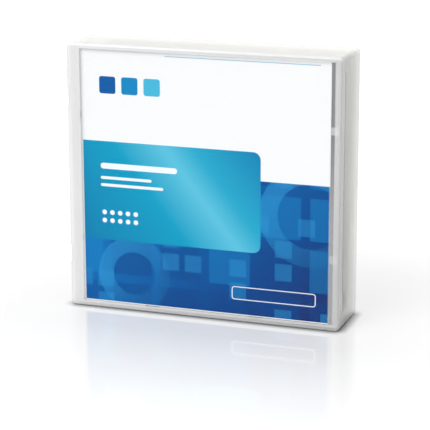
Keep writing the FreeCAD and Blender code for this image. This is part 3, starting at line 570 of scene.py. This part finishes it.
# the steels: colour, paler colour, size of the marks, and roughness
steels = {
    "pressedPlatedSteel": (0xA8AAAE, 0xBFC1C4, 0.3 * mm, (0.25, 0.4)),
    "groundSteel": (0xB0B2B6, 0xC4C6C9, 0.15 * mm, (0.16, 0.28)),
    "rolledSpringSteel": (0x9C9EA2, 0xB2B4B7, 0.25 * mm, (0.2, 0.34)),
    "drawnSpringWire": (0x9A9CA0, 0xB4B6B8, 0.4 * mm, (0.22, 0.36)),
    "zincPlatedSteel": (0xA6A8AA, 0xBDBFC2, 0.2 * mm, (0.25, 0.4)),
}
worked = {
    "broadPatch": 4 * mm,
    "relief": (0.1, 0.02 * mm),
}


def workedSteel(name):
    # plated or ground steel: clear reflections broken by fine marks of its making
    material, tree, shader, place = newMaterial(name)
    colour, paler, size, rough = steels[name]
    marks = addNode(tree, "TexNoise", {"Vector": place, "Scale": 1 / size, "Detail": 4.0})
    patch = addNode(tree, "TexNoise", {"Vector": place, "Scale": 1 / worked["broadPatch"],
                                       "Detail": 2.0})
    finishSurface(tree, shader, patch, (colour, paler), marks, rough, worked["relief"])
    feed(tree, shader, {"Metallic": 1.0})
    return material


# the tape
tape = {
    "axis": (3.2 * mm, 54.7 * mm),  # the reel's axis, x and z
    "turnPitch": 0.45 * mm,  # far coarser than real film, so that the turns show
    "edgeTints": (0x1E1714, 0x4A3A32),
    "edgeRough": (0.22, 0.42),
    "edgeRelief": (0.3, 0.05 * mm),
    "faceTints": (0x2A201B, 0x3B2E27),
    "faceRough": (0.12, 0.22),
    "faceStreaks": (20.0, 1500.0, 20.0),  # marks a metre, so they run along the tape
}


def woundFilm():
    # magnetic film seen edge on: near black brown, with fine rings where the turns differ
    material, tree, shader, place = newMaterial("woundMagneticFilm")
    x, _, z = addNode(tree, "SeparateXYZ", (place,)).outputs
    squares = []
    for value, middle in zip((x, z), tape["axis"]):
        off = addNode(tree, "Math", (value, middle), operation="SUBTRACT")
        squares.append(addNode(tree, "Math", (off, off), operation="MULTIPLY"))
    square = addNode(tree, "Math", squares, operation="ADD")
    radius = addNode(tree, "Math", (square,), operation="SQRT")
    turn = addNode(tree, "Math", (radius, 1 / tape["turnPitch"]), operation="MULTIPLY")
    rings = addNode(tree, "TexNoise", {"W": turn, "Scale": 1.0, "Detail": 3.0},
                    noise_dimensions="1D")
    finishSurface(tree, shader, rings, tape["edgeTints"], rings, tape["edgeRough"],
                  tape["edgeRelief"])
    return material


def magneticFilm():
    # the same film seen on its face: smooth dark brown with a mirror-like sheen
    material, tree, shader, place = newMaterial("magneticFilm")
    streak = addNode(tree, "Mapping", {"Vector": place, "Scale": tape["faceStreaks"]})
    marks = addNode(tree, "TexNoise", {"Vector": streak, "Scale": 1.0, "Detail": 2.0})
    finishSurface(tree, shader, marks, tape["faceTints"], marks, tape["faceRough"])
    return material


# the memory board
chip = {
    "halfLength": 6.0 * mm,
    "halfHeight": 3.0 * mm,
    "blockLevel": 0.15 * mm,  # the block stands above this level of the board
    "weave": 0.5 * mm,
    "greens": (0x0E5A34, 0x17734A),
    "trackGreen": 0x3E9A63,
    "trackPitch": 0.5 * mm,
    "trackShare": 0.5,
    "tracks": (0.3 * mm, 1.8 * mm),  # from the board's edge in
    "block": 0x17181A,
    "rough": (0.22, 0.4),
}


def circuitBoard():
    # glass-fibre board under green solder resist; the block on it is black moulded epoxy
    material, tree, shader, place = newMaterial("solderResistBoard")
    low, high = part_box("memory_chip")
    centre = (low + high) / 2
    x, y, z = [addNode(tree, "Math", (value, middle), operation="SUBTRACT")
               for value, middle in zip(addNode(tree, "SeparateXYZ", (place,)).outputs, centre)]
    # the board leans 45 degrees in x and z, so their sum is its normal and the rest its length
    lean = math.sqrt(0.5)
    normal, along = [
        addNode(tree, "Math", (addNode(tree, "Math", (x, z), operation=way), lean),
                operation="MULTIPLY") for way in ("ADD", "SUBTRACT")]
    weave = addNode(tree, "TexNoise", {"Vector": place, "Scale": 1 / chip["weave"],
                                       "Detail": 2.0})
    green = inkOver(tree, weave, linear(chip["greens"][0]), chip["greens"][1])
    # the flat coil of the antenna, which shows as paler lines through the resist
    insets = []
    for value, half in ((along, chip["halfLength"]), (y, chip["halfHeight"])):
        away = addNode(tree, "Math", (value,), operation="ABSOLUTE")
        insets.append(addNode(tree, "Math", (half, away), operation="SUBTRACT"))
    inset = addNode(tree, "Math", insets, operation="MINIMUM")
    count = addNode(tree, "Math", (inset, 1 / chip["trackPitch"]), operation="MULTIPLY")
    part = addNode(tree, "Math", (count,), operation="FRACT")
    line = addNode(tree, "Math", (part, chip["trackShare"]), operation="LESS_THAN")
    past = addNode(tree, "Math", (inset, chip["tracks"][0]), operation="GREATER_THAN")
    short = addNode(tree, "Math", (inset, chip["tracks"][1]), operation="LESS_THAN")
    zone = addNode(tree, "Math", (past, short), operation="MULTIPLY")
    track = addNode(tree, "Math", (line, zone), operation="MULTIPLY")
    green = inkOver(tree, track, green, chip["trackGreen"])
    isBlock = addNode(tree, "Math", (normal, chip["blockLevel"]), operation="GREATER_THAN")
    feed(tree, shader, {
        "Base Color": inkOver(tree, isBlock, green, chip["block"]),
        "Roughness": addNode(tree, "MapRange", (weave, 0.0, 1.0, *chip["rough"])),
    })
    return material


# Geometry Nodes make the springs and the screws
def bakedPiece(name, tree, values, place, turn, points=()):
    # runs a node tree on a mesh of bare points, and keeps the result as a plain mesh in its place
    seed = bpy.data.meshes.new(name + "Carrier")
    seed.from_pydata(points, [], [])
    carrier = newObject(name + "Carrier", seed)
    modifier = carrier.modifiers.new("build", "NODES")
    modifier.node_group = tree
    for item in tree.interface.items_tree:
        if item.item_type == "SOCKET" and item.in_out == "INPUT" and item.name in values:
            modifier[item.identifier] = values[item.name]
    ready = carrier.evaluated_get(bpy.context.evaluated_depsgraph_get())
    data = bpy.data.meshes.new_from_object(ready)
    data.name = name
    bpy.data.objects.remove(carrier)
    data.transform(Matrix.Translation(place) @ turn)
    return newObject(name, data)


def newTree(name, sizes):
    tree = bpy.data.node_groups.new(name, "GeometryNodeTree")
    tree.interface.new_socket("Geometry", in_out="OUTPUT", socket_type="NodeSocketGeometry")
    tree.interface.new_socket("Points", in_out="INPUT", socket_type="NodeSocketGeometry")
    for size in sizes:
        tree.interface.new_socket(size, in_out="INPUT", socket_type="NodeSocketFloat")
    return tree, addNode(tree, "NodeGroupInput").outputs


def endTree(tree, geometry, material):
    real = addNode(tree, "GeometryNodeRealizeInstances", (geometry,))
    painted = addNode(tree, "GeometryNodeSetMaterial", {0: real, "Material": material})
    addNode(tree, "NodeGroupOutput", (painted,))


# anchor is the end that stays put, and travel how far the other end comes towards it
brakeSpring = {
    "coilRadius": 8.5 * mm,
    "wireRadius": 0.35 * mm,
    "turns": 6.0,
    "anchor": -8.95 * mm,
    "travel": 1.8 * mm,
}
doorSpring = {
    "coilRadius": 1.05 * mm,
    "wireRadius": 0.15 * mm,
    "turns": 16.0,
    "anchor": -1.4 * mm,
    "travel": 13 * mm,
}
coilSteps = {"turn": 28, "wire": 10}


def coilTree(material):
    # round wire along a spiral, with capped ends
    tree, given = newTree("coilSpring", ("coilRadius", "wireRadius", "height", "turns"))
    wireWidth = addNode(tree, "Math", (given["wireRadius"], 2.0), operation="MULTIPLY")
    rise = addNode(tree, "Math", (given["height"], wireWidth), operation="SUBTRACT")
    spiral = addNode(tree, "GeometryNodeCurveSpiral", {
        "Resolution": coilSteps["turn"], "Rotations": given["turns"],
        "Start Radius": given["coilRadius"], "End Radius": given["coilRadius"],
        "Height": rise})
    section = addNode(tree, "GeometryNodeCurvePrimitiveCircle", {
        "Resolution": coilSteps["wire"], "Radius": given["wireRadius"]})
    wire = addNode(tree, "GeometryNodeCurveToMesh", {
        "Curve": spiral, "Profile Curve": section, "Fill Caps": True})
    endTree(tree, addNode(tree, "GeometryNodeSetShadeSmooth", (wire,)), material)
    return tree


def makeSprings():
    tree = coilTree(workedSteel("drawnSpringWire"))
    low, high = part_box("brake_spring")
    middle, height = (low + high) / 2, high.y - low.y
    place = Vector((middle.x, low.y + brakeSpring["wireRadius"], middle.z))
    turn = Matrix.Rotation(-math.pi / 2, 4, "X")
    spring = bakedPiece("brake_spring_wire", tree, dict(brakeSpring, height=height), place, turn)
    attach(spring, "case")
    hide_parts("brake_spring")
    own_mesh(spring)

    low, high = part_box("door_spring")
    middle, height = (low + high) / 2, high.x - low.x
    place = Vector((low.x + doorSpring["wireRadius"], middle.y, middle.z))
    turn = Matrix.Rotation(math.pi / 2, 4, "Y")
    spring = bakedPiece("door_spring_wire", tree, dict(doorSpring, height=height), place, turn)
    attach(spring, "case")
    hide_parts("door_spring")
    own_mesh(spring)
    print("springs wound")


# the screws
screw = {
    "headRadius": 2.0 * mm,
    "headHeight": 1.4 * mm,
    "headEdge": 0.25 * mm,
    "crest": 1.0 * mm,
    "core": 0.74 * mm,
    "pitch": 0.8 * mm,
    "flank": 3.2,  # how steeply the thread's ridge falls off, in pitches
    "plainNeck": 0.5 * mm,
    "pointLength": 1.6 * mm,
    "pointShare": 0.25,  # radius left at the tip
    "drive": 1.02 * mm,  # mean radius of the recess
    "lobes": 6,
    "lobe": 0.15,
    "driveDepth": 0.85 * mm,
    "driveTaper": 0.9,
    "segments": 36,
    "ringsPerPitch": 6,
}


def screwRings(length):
    # each ring is its height and a function from turn (0 to 1) to radius, from the point up
    core, head = screw["core"], screw["headRadius"]
    ridgeHeight, tip = screw["crest"] - core, screw["pointShare"]

    def thread(height):
        taper = min(1.0, (height + length) / screw["pointLength"])

        def radius(turn):
            phase = (height / screw["pitch"] - turn) % 1.0
            ridge = max(0.0, 1 - abs(phase - 0.5) * screw["flank"])
            return (core + ridgeHeight * ridge) * (tip + (1 - tip) * taper)
        return height, radius

    def plain(height, size):
        return height, lambda turn: size

    def lobed(height, share):
        swing = 2 * math.pi * screw["lobes"]
        size = screw["drive"] * share
        return height, lambda turn: size * (1 + screw["lobe"] * math.cos(swing * turn))

    step = screw["pitch"] / screw["ringsPerPitch"]
    count = int((length - screw["plainNeck"]) / step)
    rings = [thread(-length + i * step) for i in range(count + 1)]
    top, edge = screw["headHeight"], screw["headEdge"]
    rings += [plain(-screw["plainNeck"], core), plain(0, core), plain(0, head - edge / 2)]
    rings += [plain(edge / 2, head), plain(top - edge, head)]
    rings += [plain(top - edge / 3, head - edge / 3), plain(top, head - edge)]
    rings += [lobed(top, 1.0), lobed(top - screw["driveDepth"], screw["driveTaper"])]
    return rings


def screwMesh(length):
    mesh = bmesh.new()
    count = screw["segments"]
    rows = []
    for height, radius in screwRings(length):
        row = []
        for i in range(count):
            size = radius(i / count)
            angle = 2 * math.pi * i / count
            row.append(mesh.verts.new((size * math.cos(angle), size * math.sin(angle), height)))
        rows.append(row)
    for lower, upper in zip(rows, rows[1:]):
        for i in range(count):
            j = (i + 1) % count
            mesh.faces.new((lower[i], lower[j], upper[j], upper[i]))
    mesh.faces.new(list(reversed(rows[0])))
    mesh.faces.new(rows[-1])
    bmesh.ops.recalc_face_normals(mesh, faces=mesh.faces)
    data = bpy.data.meshes.new("screwShape")
    mesh.to_mesh(data)
    mesh.free()
    return data


def makeScrews():
    # thread-forming screws with a six-lobed recess, one copy at each corner of the node's box
    low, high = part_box("shell_screws")
    shape = newObject("screwShape", screwMesh(high.y - low.y - screw["headHeight"]))
    tree, given = newTree("screwSet", ())
    source = addNode(tree, "GeometryNodeObjectInfo", {"Object": shape}).outputs["Geometry"]
    copies = addNode(tree, "GeometryNodeInstanceOnPoints", {
        "Points": given["Points"], "Instance": source})
    endTree(tree, copies, workedSteel("zincPlatedSteel"))
    inset = screw["headRadius"]
    turn = Matrix.Rotation(-math.pi / 2, 4, "X")
    places = [Vector((x, high.y - screw["headHeight"], z)) for x in (low.x + inset, high.x - inset)
              for z in (low.z + inset, high.z - inset)]
    points = [turn.inverted() @ place for place in places]
    screws = bakedPiece("recessed_screws", tree, {}, Vector((0, 0, 0)), turn, points)
    bpy.data.objects.remove(shape)
    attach(screws, "case")
    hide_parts("shell_screws")
    print("screws set")


def dress():
    # the finish of each CAD node that shows as it is
    reel = waxyPlastic("greyReelPolycarbonate")
    finishes = {
        "case_tray": clearPolypropylene("milkyPolypropylene", case["trayTints"], False),
        "case_lid": clearPolypropylene("clearPolypropylene", case["lidTints"], True),
        "cartridge_bottom_shell": sparkedPlastic("charcoalPolycarbonate"),
        "cartridge_top_shell": sparkedPlastic("panelledPolycarbonate", hasPanel=True),
        "reel_hub": reel,
        "upper_flange": reel,
        "tape_pack": woundFilm(),
        "clutch_plate": workedSteel("pressedPlatedSteel"),
        "release_pad": waxyPlastic("whiteAcetal"),
        "brake_button": waxyPlastic("ivoryAcetal"),
        "leader_pin": workedSteel("groundSteel"),
        "tape_clip": sparkedPlastic("blackClipPolyester"),
        "tape_lead": magneticFilm(),
        "pin_spring": workedSteel("rolledSpringSteel"),
        "slide_door": sparkedPlastic("darkGreyPolycarbonate"),
        "write_protect_tab": sparkedPlastic("slateAcetal"),
        "memory_chip": circuitBoard(),
    }
    for name, material in finishes.items():
        data = nodes[name].data
        data.materials.clear()
        data.materials.append(material)
    print("finishes set on", len(finishes), "nodes")


# the floor, the sky and the lamp
studio = {
    "skyLight": 0.92,
    "sunFrom": (-0.34, -0.68, 0.65),
    "sunStrength": 1.7,
    "sunTurn": 40.0,  # degrees across that the soft sun covers
    "floorSize": 12.0,
    "floorDrop": 0.02 * mm,
    "floorColour": 0xA0A0A0,
    "floorShade": 0x505357,  # painted contact shadow where the case stands on it
    "floorGlow": (0.41, 0.68),  # near the case and far from it, only seen, so it lights nothing
    "floorGloss": 1.1,
    "floorRough": (0.06, 0.08),
    "ripple": 60 * mm,
    "footprint": (57 * mm, 13 * mm),
    "glossReach": (20 * mm, 142 * mm),  # the shine fades out between these distances from the case
    "shadeReach": 4 * mm,
    "shadeDepth": 2.2,
    "shadeSamples": 16,
}


def seenRays(tree):
    # 1 where the camera looks, also by way of a shiny or clear surface, and 0 for light on its way
    path = addNode(tree, "LightPath").outputs
    seen = addNode(tree, "Math", (path["Is Camera Ray"], path["Is Glossy Ray"]),
                   operation="MAXIMUM")
    return addNode(tree, "Math", (seen, path["Is Transmission Ray"]), operation="MAXIMUM")


def makeSky():
    bpy.context.scene.view_settings.view_transform = "Standard"
    world = bpy.data.worlds.new("studioSky")
    bpy.context.scene.world = world
    world.use_nodes = True
    tree = world.node_tree
    light = studio["skyLight"]
    strength = addNode(tree, "Math", (seenRays(tree), 1 - light, light), operation="MULTIPLY_ADD")
    feed(tree, tree.nodes["Background"], {"Strength": strength, "Color": (1, 1, 1, 1)})

    lamp = bpy.data.lights.new("keyLamp", "SUN")
    lamp.energy = studio["sunStrength"]
    lamp.angle = math.radians(studio["sunTurn"])
    holder = newObject("keyLamp", lamp)
    holder.rotation_mode = "QUATERNION"
    holder.rotation_quaternion = Vector(studio["sunFrom"]).to_track_quat("Z", "Y")
    print("sky and lamp ready")


def glossFade(tree, place):
    # 0 beside the case and 1 far from it
    away = []
    for value, half in zip(addNode(tree, "SeparateXYZ", (place,)).outputs, studio["footprint"]):
        off = addNode(tree, "Math", (value,), operation="ABSOLUTE")
        past = addNode(tree, "Math", (off, half), operation="SUBTRACT")
        away.append(addNode(tree, "Math", (past, 0.0), operation="MAXIMUM"))
    gap = addNode(tree, "CombineXYZ", away)
    distance = addNode(tree, "VectorMath", (gap,), operation="LENGTH").outputs["Value"]
    return addNode(tree, "MapRange", (distance, *studio["glossReach"], 0.0, 1.0))


def makeFloor():
    # white acrylic: glossy beside the case and matt further out, so that the reflection fades
    material, tree, shader, place = newMaterial("whiteAcrylicFloor")
    seen = seenRays(tree)
    # a painted contact shadow: the floor's colour and its glow darken in a narrow band where the
    # case stands on it
    uncovered = addNode(tree, "AmbientOcclusion", {"Distance": studio["shadeReach"]},
                        samples=studio["shadeSamples"]).outputs["AO"]
    lit = addNode(tree, "Math", (uncovered, studio["shadeDepth"]), operation="POWER")
    white = inkOver(tree, lit, linear(studio["floorShade"]), studio["floorColour"])
    nearGlow, farGlow = studio["floorGlow"]
    litSeen = addNode(tree, "Math", (lit, seen), operation="MULTIPLY")
    ripple = addNode(tree, "TexNoise", {"Vector": place, "Scale": 1 / studio["ripple"],
                                        "Detail": 1.0})
    feed(tree, shader, {
        "Base Color": white,
        "Roughness": addNode(tree, "MapRange", (ripple, 0.0, 1.0, *studio["floorRough"])),
        "Specular IOR Level": studio["floorGloss"],
        "Emission Color": (1, 1, 1, 1),
        "Emission Strength": addNode(tree, "Math", (litSeen, nearGlow), operation="MULTIPLY"),
    })
    matt = addNode(tree, "BsdfPrincipled", {
        "Base Color": white,
        "Specular IOR Level": 0.0,
        "Emission Color": (1, 1, 1, 1),
        "Emission Strength": addNode(tree, "Math", (seen, farGlow), operation="MULTIPLY"),
    })
    both = addNode(tree, "MixShader", (glossFade(tree, place), shader, matt))
    feed(tree, tree.nodes["Material Output"], {"Surface": both})
    half, z = studio["floorSize"] / 2, -studio["floorDrop"]
    corners = [(-half, -half, z), (half, -half, z), (half, half, z), (-half, half, z)]
    data = bpy.data.meshes.new("floor")
    data.from_pydata(corners, [], [(0, 1, 2, 3)])
    data.materials.append(material)
    floor = newObject("floor", data)
    print("floor ready")


makeCamera()
makeSky()
makeFloor()
dress()
makeCard()
makeSprings()
makeScrews()
